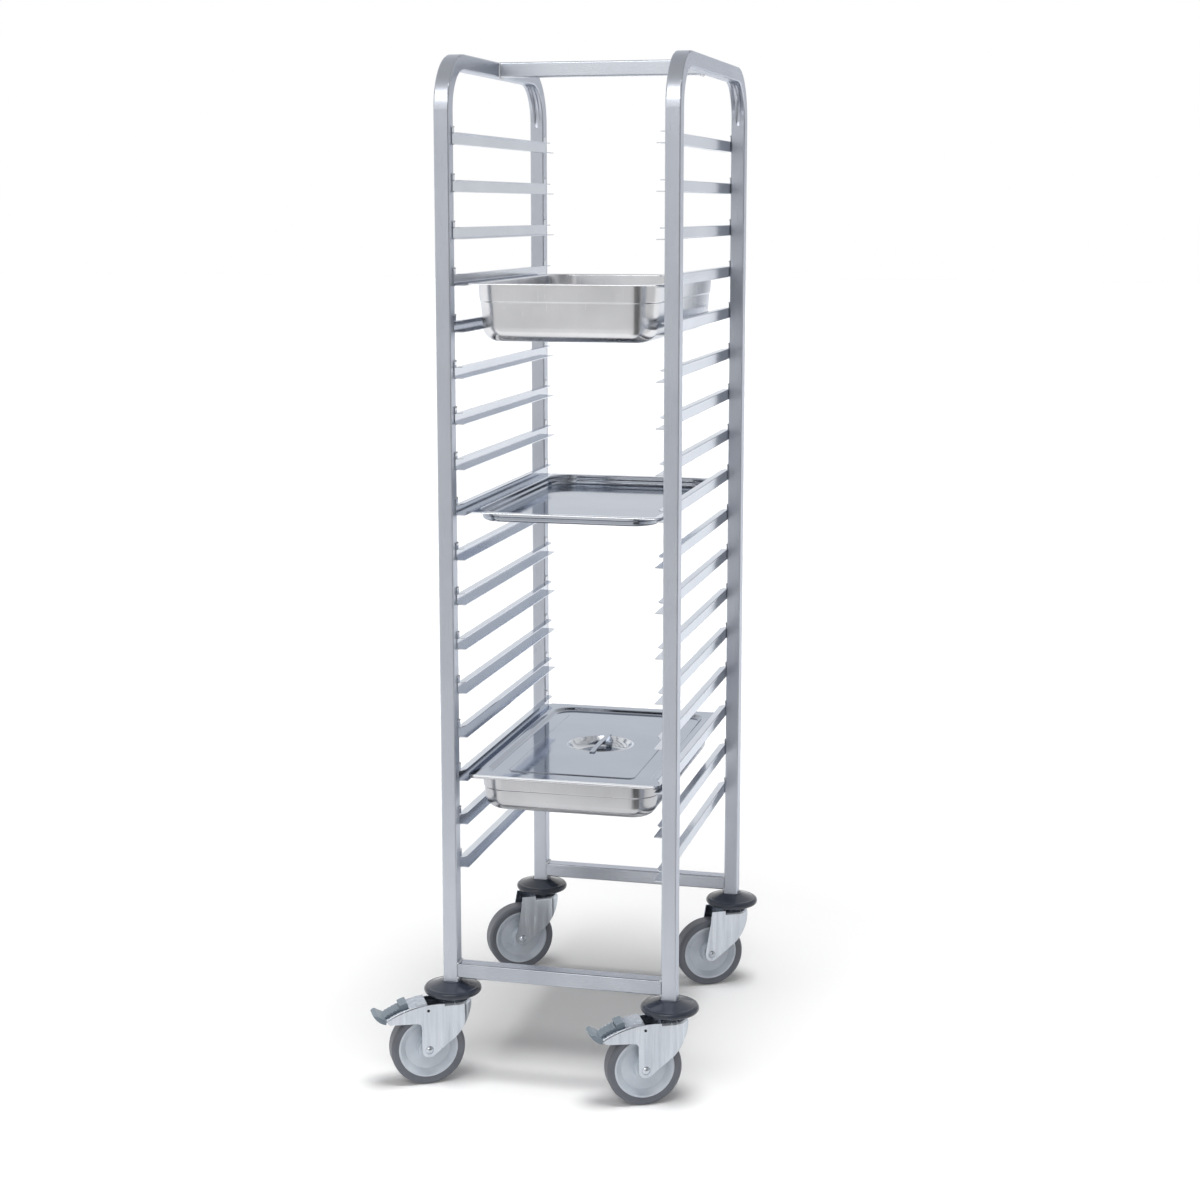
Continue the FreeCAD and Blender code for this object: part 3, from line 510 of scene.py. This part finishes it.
FINISHES = (
    ("side_frame", ARCH_STEEL), ("crossbar", CROSSBAR_HIGHLIT_STEEL),
    ("front_bottom_rail", FRONT_RAIL_STEEL), ("rail", RAIL_STEEL),
    ("runners", RUNNER_STEEL), ("deep_pan", DEEP_PAN_STEEL), ("tray", TRAY_STEEL),
    ("covered_pan", COVERED_PAN_SHADED_STEEL), ("lid", LID_STEEL),
    ("plugs", PLUG_PLASTIC), ("bumper", BUMPER_RUBBER), ("balls", BALL_STEEL),
    ("wheel_core", WHEEL_PLASTIC), ("tyre", TYRE_RUBBER), ("pedal", PEDAL_PLASTIC),
    ("shoe", BRAKE_RUBBER), ("fork", ZINC_PLATE), ("stem", ZINC_PLATE), ("race_cup", ZINC_PLATE),
    ("axle", ZINC_PLATE), ("brake_pin", PIN_BLACK), ("brake_lever", ZINC_PLATE),
)


def finish_of(node):
    for word, material in FINISHES:
        if word in node:
            return material
    raise ValueError("no finish for " + node)


for node_name, node_object in nodes.items():
    node_object.data.materials.clear()
    node_object.data.materials.append(finish_of(node_name))


# Shapes

def edges_of(verts):
    """The edges that run between these vertices."""
    wanted = set(verts)
    found = {edge for vert in verts for edge in vert.link_edges}
    return [edge for edge in found if all(end in wanted for end in edge.verts)]


def rounded_ring(shape, width, length, corner, height, middle=(0.0, 0.0)):
    """A closed loop of edges: a rectangle with round corners, lying flat. Sizes in mm."""
    made = bmesh.ops.create_grid(shape, x_segments=1, y_segments=1, size=0.5)["verts"]
    bmesh.ops.scale(shape, vec=(width * MM, length * MM, 1.0), verts=made)
    bmesh.ops.translate(shape, vec=(middle[0] * MM, middle[1] * MM, height * MM), verts=made)
    rounded = bmesh.ops.bevel(
        shape, geom=made, offset=corner * MM, offset_type="OFFSET", segments=CORNER_STEPS,
        profile=0.5, affect="VERTICES", material=-1)["verts"]
    face = rounded[0].link_faces[0]
    ring = list(face.edges)
    bmesh.ops.delete(shape, geom=[face], context="FACES_ONLY")
    return ring


def flat_circle(shape, radius, height):
    made = bmesh.ops.create_circle(shape, segments=DISH_STEPS, radius=radius * MM)["verts"]
    bmesh.ops.translate(shape, vec=(0.0, 0.0, height * MM), verts=made)
    return edges_of(made)


def bridge(shape, rings):
    """Walls of sheet from each ring to the next."""
    for first, second in zip(rings, rings[1:]):
        bmesh.ops.bridge_loops(shape, edges=first + second)


def round_bends(shape, bends):
    """Rounds the rings where the sheet turns, each by its own radius in mm."""
    for ring, radius in bends:
        bmesh.ops.bevel(
            shape, geom=[edge for edge in ring if edge.is_valid], offset=radius * MM,
            offset_type="OFFSET", segments=BEND_STEPS, profile=0.5, affect="EDGES",
            clamp_overlap=True, material=-1)


def new_piece(name, shape, body, material):
    """Turns a finished bmesh into a piece that rides on a body."""
    mesh = bpy.data.meshes.new(name)
    shape.to_mesh(mesh)
    shape.free()
    mesh.shade_smooth()
    piece = bpy.data.objects.new(name, mesh)
    bpy.context.collection.objects.link(piece)
    mesh.materials.append(material)
    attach(piece, body)
    return piece


def give_thickness(piece, sheet):
    """Sheet metal: the modelled side shows, and the metal lies behind it."""
    wall = piece.modifiers.new("sheet", "SOLIDIFY")
    wall.thickness = sheet * MM
    wall.offset = -1.0
    wall.use_even_offset = True


def settle_normals(piece):
    """Keeps the flats flat beside their rounded bends."""
    piece.modifiers.new("flats", "WEIGHTED_NORMAL").keep_sharp = True


def face_up(shape):
    """Turns an open sheet so that its upper side is its outside."""
    bmesh.ops.recalc_face_normals(shape, faces=shape.faces)
    if sum(face.normal.z * face.calc_area() for face in shape.faces) < 0.0:
        bmesh.ops.reverse_faces(shape, faces=shape.faces)


def drawn_pan(name, node, level, depth, shoulder, step, edge, material):
    """A pan drawn from one sheet: turned-down rim, shoulder, sloping walls and a round base."""
    width = PAN_WIDTH - 2 * RIM_FLAT - 2 * PAN_SHEET
    length = PAN_LENGTH - 2 * RIM_FLAT - 2 * PAN_SHEET
    corner = PAN_CORNER - PAN_SHEET
    floor = depth - PAN_SHEET
    seat = level_height(level)

    def wall_ring(drop, inset):
        return rounded_ring(
            shape, width - 2 * inset, length - 2 * inset, corner - inset, seat + RIM_HEIGHT - drop)

    shape = bmesh.new()
    hem = rounded_ring(shape, PAN_WIDTH, PAN_LENGTH, RIM_CORNER, seat + RIM_LIFT)
    rim = rounded_ring(shape, PAN_WIDTH, PAN_LENGTH, RIM_CORNER, seat + RIM_HEIGHT)
    mouth = wall_ring(FLAT_FALL, 0.0)
    above = wall_ring(shoulder, shoulder * PAN_SLOPE)
    below = wall_ring(shoulder + SHOULDER_RISE, shoulder * PAN_SLOPE + step)
    base = wall_ring(floor, floor * PAN_SLOPE + step)
    bridge(shape, [hem, rim, mouth, above, below, base])
    bmesh.ops.contextual_create(shape, geom=base)
    face_up(shape)
    round_bends(shape, [
        (rim, RIM_BEND), (mouth, MOUTH_BEND), (above, SHOULDER_BEND), (below, SHOULDER_BEND),
        (base, edge - PAN_SHEET)])
    piece = new_piece(name, shape, node, material)
    give_thickness(piece, PAN_SHEET)
    settle_normals(piece)
    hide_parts(node)


def pressed_lid():
    """Lid pressed from one sheet: rolled border, side beads, recess, raised panel and a dish."""
    seat = level_height(COVERED_PAN_LEVEL) + RIM_HEIGHT + RIM_LIFT
    top = seat + LID_EDGE
    shape = bmesh.new()

    def ring(inset, corner, drop):
        return rounded_ring(
            shape, PAN_WIDTH - 2 * inset, PAN_LENGTH - 2 * inset, corner, top - drop)

    def bead(side):
        middle = (side * LID_BEAD_X, (LID_BEAD_FRONT + LID_BEAD_BACK) / 2)
        length = LID_BEAD_BACK - LID_BEAD_FRONT
        foot = rounded_ring(
            shape, LID_BEAD_WIDTH, length, LID_BEAD_ROUND, top, middle)
        crest = rounded_ring(
            shape, LID_BEAD_CREST, length - LID_BEAD_WIDTH + LID_BEAD_CREST, LID_CREST_ROUND,
            top + LID_BEAD_RISE, middle)
        bridge(shape, [foot, crest])
        bmesh.ops.contextual_create(shape, geom=crest)
        return foot

    panel_inset = LID_BORDER + LID_PANEL_INSET
    panel_drop = LID_RECESS - LID_PANEL_RISE
    hem = ring(0.0, RIM_CORNER, LID_EDGE)
    outline = ring(0.0, RIM_CORNER, 0.0)
    recess = ring(LID_BORDER, LID_RECESS_CORNER, 0.0)
    gutter = ring(
        LID_BORDER + LID_RECESS_LEAN, LID_RECESS_CORNER - LID_RECESS_LEAN, LID_RECESS)
    step = ring(panel_inset, LID_PANEL_CORNER, LID_RECESS - FLAT_FALL)
    panel = ring(panel_inset + LID_PANEL_LEAN, LID_PANEL_CORNER - LID_PANEL_LEAN, panel_drop)
    lip_foot = flat_circle(shape, DISH_RADIUS + DISH_LIP, top - panel_drop)
    lip_top = flat_circle(shape, DISH_RADIUS + DISH_LIP / 2, top - panel_drop + DISH_LIP_RISE)
    dish_floor = flat_circle(shape, DISH_FLOOR_RADIUS, top - panel_drop - DISH_DEPTH)
    feet = [bead(-1), bead(1)]
    bridge(shape, [hem, outline])
    bridge(shape, [recess, gutter, step, panel])
    bridge(shape, [lip_foot, lip_top, dish_floor])
    bmesh.ops.contextual_create(shape, geom=dish_floor)
    for loops in ([outline, recess, *feet], [panel, lip_foot]):
        bmesh.ops.triangle_fill(
            shape, use_beauty=True, edges=[edge for loop in loops for edge in loop],
            normal=(0.0, 0.0, 1.0))
    face_up(shape)
    round_bends(shape, [
        (outline, LID_EDGE_BEND), (recess, LID_RECESS_BEND), (gutter, LID_GUTTER_BEND),
        (step, LID_PANEL_BEND), (panel, LID_PANEL_BEND), (lip_foot, DISH_LIP_BEND),
        (lip_top, DISH_LIP_BEND), (dish_floor, DISH_FLOOR_BEND)])
    piece = new_piece("pressed_lid", shape, "pan_lid", LID_STEEL)
    give_thickness(piece, LID_SHEET)
    settle_normals(piece)
    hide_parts("pan_lid")


def lid_strap():
    """The grip: a flat strap that arches over the dish."""
    base = level_height(COVERED_PAN_LEVEL) + RIM_HEIGHT + RIM_LIFT + LID_EDGE
    base += LID_PANEL_RISE - LID_RECESS + GRIP_THICKNESS
    half = DISH_RADIUS + DISH_LIP + GRIP_FOOT
    shape = bmesh.new()
    strip = bmesh.ops.create_grid(shape, x_segments=2, y_segments=GRIP_STEPS, size=0.5)["verts"]
    bmesh.ops.scale(shape, vec=(GRIP_WIDTH * MM, 2 * half * MM, 1.0), verts=strip)
    for vert in strip:
        across = min(abs(vert.co.y) / (half - GRIP_FOOT) / MM, 1.0)
        vert.co.z = (base + GRIP_ARCH * (1.0 - across * across)) * MM
    piece = new_piece("lid_strap", shape, "pan_lid", TRAY_STEEL)
    give_thickness(piece, GRIP_THICKNESS)
    edge = piece.modifiers.new("edges", "BEVEL")
    edge.width = GRIP_EDGE * MM
    edge.segments = GRIP_EDGE_STEPS
    settle_normals(piece)
    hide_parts("lid_grip")


def weld_bead(shape, start, end, radius):
    """A row of overlapping ripples of weld from one point to another, in mm."""
    first = Vector(start)
    last = Vector(end)
    count = max(2, round((last - first).length / radius))
    for index in range(count + 1):
        place = Matrix.Translation(first.lerp(last, index / count) * MM)
        bmesh.ops.create_uvsphere(
            shape, u_segments=WELD_SIDES, v_segments=WELD_RINGS, radius=radius * MM, matrix=place)


def tube_welds():
    """Beads where the crossbar and the bottom rails meet the side frames."""
    shape = bmesh.new()
    half = TUBE / 2
    side_x = INNER_HALF - WELD_SINK
    under_bar = FRAME_TOP - TUBE
    for side in (-1, 1):
        x = side * side_x
        for face in (-half, half):
            weld_bead(
                shape, (x, face, under_bar + BAR_WELD_END), (x, face, FRAME_TOP - BAR_WELD_TOP),
                WELD_RADIUS)
        weld_bead(
            shape, (x, BAR_WELD_END - half, under_bar), (x, half - BAR_WELD_END, under_bar),
            WELD_RADIUS)
        for middle in (-POST_Y, POST_Y):
            near = middle - half + RAIL_WELD_END
            far = middle + half - RAIL_WELD_END
            for height in (RAIL_MID - half, RAIL_MID + half):
                weld_bead(shape, (x, near, height), (x, far, height), WELD_RADIUS)
    new_piece("tube_welds", shape, "frame", WELD_STEEL)


def runner_welds():
    """A short bead on the top of each runner's ear, against its post."""
    shape = bmesh.new()
    for level in range(1, LEVELS + 1):
        height = level_height(level) + RUNNER_HEIGHT + EAR_HEIGHT
        for side in (-1, 1):
            x = side * (INNER_HALF - EAR_WELD_SINK)
            for end in (-1, 1):
                weld_bead(
                    shape, (x, end * EAR_NEAR, height), (x, end * EAR_FAR, height), EAR_WELD)
    new_piece("runner_welds", shape, "frame", WELD_STEEL)


drawn_pan(
    "deep_pan_drawn", "deep_pan", DEEP_PAN_LEVEL, DEEP_PAN_DEPTH, DEEP_PAN_SHOULDER,
    DEEP_PAN_STEP, DEEP_PAN_EDGE, DEEP_PAN_STEEL)
drawn_pan(
    "shallow_tray_drawn", "shallow_tray", TRAY_LEVEL, TRAY_DEPTH, TRAY_SHOULDER,
    TRAY_STEP, TRAY_EDGE, TRAY_STEEL)
drawn_pan(
    "covered_pan_drawn", "covered_pan", COVERED_PAN_LEVEL, COVERED_PAN_DEPTH,
    COVERED_PAN_SHOULDER, COVERED_PAN_STEP, COVERED_PAN_EDGE, COVERED_PAN_SHADED_STEEL)
pressed_lid()
lid_strap()
tube_welds()
runner_welds()


# Camera in place

camera_data = bpy.data.cameras.new("camera")
camera_data.sensor_width = SENSOR
camera_data.lens = LENS
camera_data.shift_y = LENS_SHIFT
camera = bpy.data.objects.new("camera", camera_data)
camera.location = CAMERA_AT
camera.rotation_euler = (math.radians(90.0 - CAMERA_PITCH), 0.0, math.radians(CAMERA_YAW))
bpy.context.collection.objects.link(camera)
bpy.context.scene.camera = camera
bpy.context.scene.view_settings.view_transform = "Standard"


# Floor, light and surroundings

def seen_directly(tree):
    """1 for rays that show the surroundings: to the eye, in metal and through glass."""
    path = add_node(tree, "ShaderNodeLightPath")
    total = path.outputs["Is Camera Ray"]
    for kind in ("Is Glossy Ray", "Is Transmission Ray"):
        either = add_node(tree, "ShaderNodeMath", operation="MAXIMUM")
        tree.links.new(total, either.inputs[0])
        tree.links.new(path.outputs[kind], either.inputs[1])
        total = either.outputs[0]
    return total


def white_to_the_eye(tree, value):
    """A level that is full for the camera and graded for what metal reflects."""
    path = add_node(tree, "ShaderNodeLightPath")
    clear = add_node(tree, "ShaderNodeMath", operation="MAXIMUM")
    tree.links.new(value, clear.inputs[0])
    tree.links.new(path.outputs["Is Camera Ray"], clear.inputs[1])
    return clear.outputs[0]


def pale_floor():
    """White floor that keeps the shadow. Metal sees it fall off, darkest in one sector."""
    plate = bmesh.new()
    bmesh.ops.create_grid(plate, x_segments=1, y_segments=1, size=FLOOR_HALF)
    mesh = bpy.data.meshes.new("floor")
    plate.to_mesh(mesh)
    plate.free()
    floor = bpy.data.objects.new("floor", mesh)
    bpy.context.collection.objects.link(floor)
    material, tree, shader = new_material("floor_white")
    place = add_node(tree, "ShaderNodeTexCoord")
    away = add_node(tree, "ShaderNodeVectorMath", operation="DOT_PRODUCT")
    away.inputs[1].default_value = FLOOR_DIM_TOWARD
    tree.links.new(place.outputs["Object"], away.inputs[0])
    near = white_to_the_eye(
        tree, spread(tree, away.outputs["Value"], FLOOR_WHITE_TO, FLOOR_DIM_FROM, 1.0, 0.0))
    heading = add_node(tree, "ShaderNodeVectorMath", operation="NORMALIZE")
    tree.links.new(place.outputs["Object"], heading.inputs[0])
    flag_side = add_node(tree, "ShaderNodeVectorMath", operation="DOT_PRODUCT")
    flag_side.inputs[1].default_value = FLAG_TOWARD
    tree.links.new(heading.outputs[0], flag_side.inputs[0])
    beside_flag = spread(tree, flag_side.outputs["Value"], FLAG_FADE, FLAG_FULL, 1.0, 0.0)
    colour = add_node(tree, "ShaderNodeMix", data_type="RGBA")
    colour.inputs["B"].default_value = (FLOOR_WHITE, FLOOR_WHITE, FLOOR_WHITE, 1.0)
    tree.links.new(near, colour.inputs["Factor"])
    tree.links.new(
        tint(tree, beside_flag, (FLAG_DARK,) * 3, (FLOOR_DIM,) * 3), colour.inputs["A"])
    tree.links.new(colour.outputs["Result"], shader.inputs["Base Color"])
    shader.inputs["Roughness"].default_value = FLOOR_ROUGH
    shader.inputs["Specular IOR Level"].default_value = 0.0
    reach = add_node(tree, "ShaderNodeVectorMath", operation="LENGTH")
    tree.links.new(place.outputs["Object"], reach.inputs[0])
    farther = spread(
        tree, reach.outputs["Value"], FLOOR_LIFT_FROM, FLOOR_LIFT_TO, FLOOR_LIFT, FLOOR_LIFT_FAR)
    lift = add_node(tree, "ShaderNodeMath", operation="MULTIPLY")
    tree.links.new(seen_directly(tree), lift.inputs[0])
    tree.links.new(farther, lift.inputs[1])
    glow = tint(tree, near, (FLOOR_LIFT_DIM,) * 3, (1.0,) * 3)
    tree.links.new(glow, shader.inputs["Emission Color"])
    tree.links.new(lift.outputs[0], shader.inputs["Emission Strength"])
    mesh.materials.append(material)


def studio_world():
    """White backdrop, dimmer in metal towards the front right, and an even level of light."""
    world = bpy.data.worlds.new("studio")
    bpy.context.scene.world = world
    world.use_nodes = True
    tree = world.node_tree
    tree.nodes.clear()
    out = add_node(tree, "ShaderNodeOutputWorld")
    place = add_node(tree, "ShaderNodeTexCoord")
    parts = add_node(tree, "ShaderNodeSeparateXYZ")
    tree.links.new(place.outputs["Generated"], parts.inputs["Vector"])
    front_right = add_node(tree, "ShaderNodeVectorMath", operation="DOT_PRODUCT")
    front_right.inputs[1].default_value = FRONT_RIGHT_TOWARD
    tree.links.new(place.outputs["Generated"], front_right.inputs[0])
    shade = spread(tree, parts.outputs["Y"], *BACKDROP_FRONT_FALL, BACKDROP_FRONT, 1.0)
    for value, fall, dim in (
            (parts.outputs["X"], BACKDROP_RIGHT_FALL, BACKDROP_RIGHT),
            (front_right.outputs["Value"], BACKDROP_FRONT_RIGHT_FALL, BACKDROP_FRONT_RIGHT),
            (parts.outputs["Z"], BACKDROP_TOP_FALL, BACKDROP_TOP)):
        both = add_node(tree, "ShaderNodeMath", operation="MULTIPLY")
        tree.links.new(shade, both.inputs[0])
        tree.links.new(spread(tree, value, *fall, 1.0, dim), both.inputs[1])
        shade = both.outputs[0]
    level = add_node(tree, "ShaderNodeMix", data_type="FLOAT")
    level.inputs["A"].default_value = SKY_LIGHT
    tree.links.new(seen_directly(tree), level.inputs["Factor"])
    tree.links.new(white_to_the_eye(tree, shade), level.inputs["B"])
    backdrop = add_node(tree, "ShaderNodeBackground")
    backdrop.inputs["Color"].default_value = (1.0, 1.0, 1.0, 1.0)
    tree.links.new(level.outputs["Result"], backdrop.inputs["Strength"])
    tree.links.new(backdrop.outputs[0], out.inputs["Surface"])


def aim(lamp, place, target):
    lamp.location = place
    toward = Vector(target) - Vector(place)
    lamp.rotation_euler = toward.to_track_quat("-Z", "Y").to_euler()
    bpy.context.collection.objects.link(lamp)


def soft_box(name, place, target, width, height, power):
    data = bpy.data.lights.new(name, "AREA")
    data.shape = "RECTANGLE"
    data.size = width
    data.size_y = height
    data.energy = power
    aim(bpy.data.objects.new(name, data), place, target)


def overhead_light(name, place, strength, spread_degrees):
    data = bpy.data.lights.new(name, "SUN")
    data.energy = strength
    data.angle = math.radians(spread_degrees)
    lamp = bpy.data.objects.new(name, data)
    lamp.visible_glossy = False
    aim(lamp, place, (0.0, 0.0, 0.0))


pale_floor()
studio_world()
overhead_light("top_light", TOP_LIGHT_AT, TOP_LIGHT_STRENGTH, TOP_LIGHT_SPREAD)
soft_box(
    "front_box", FRONT_BOX_AT, FRONT_BOX_TARGET, FRONT_BOX_WIDTH, FRONT_BOX_HEIGHT, FRONT_BOX_POWER)
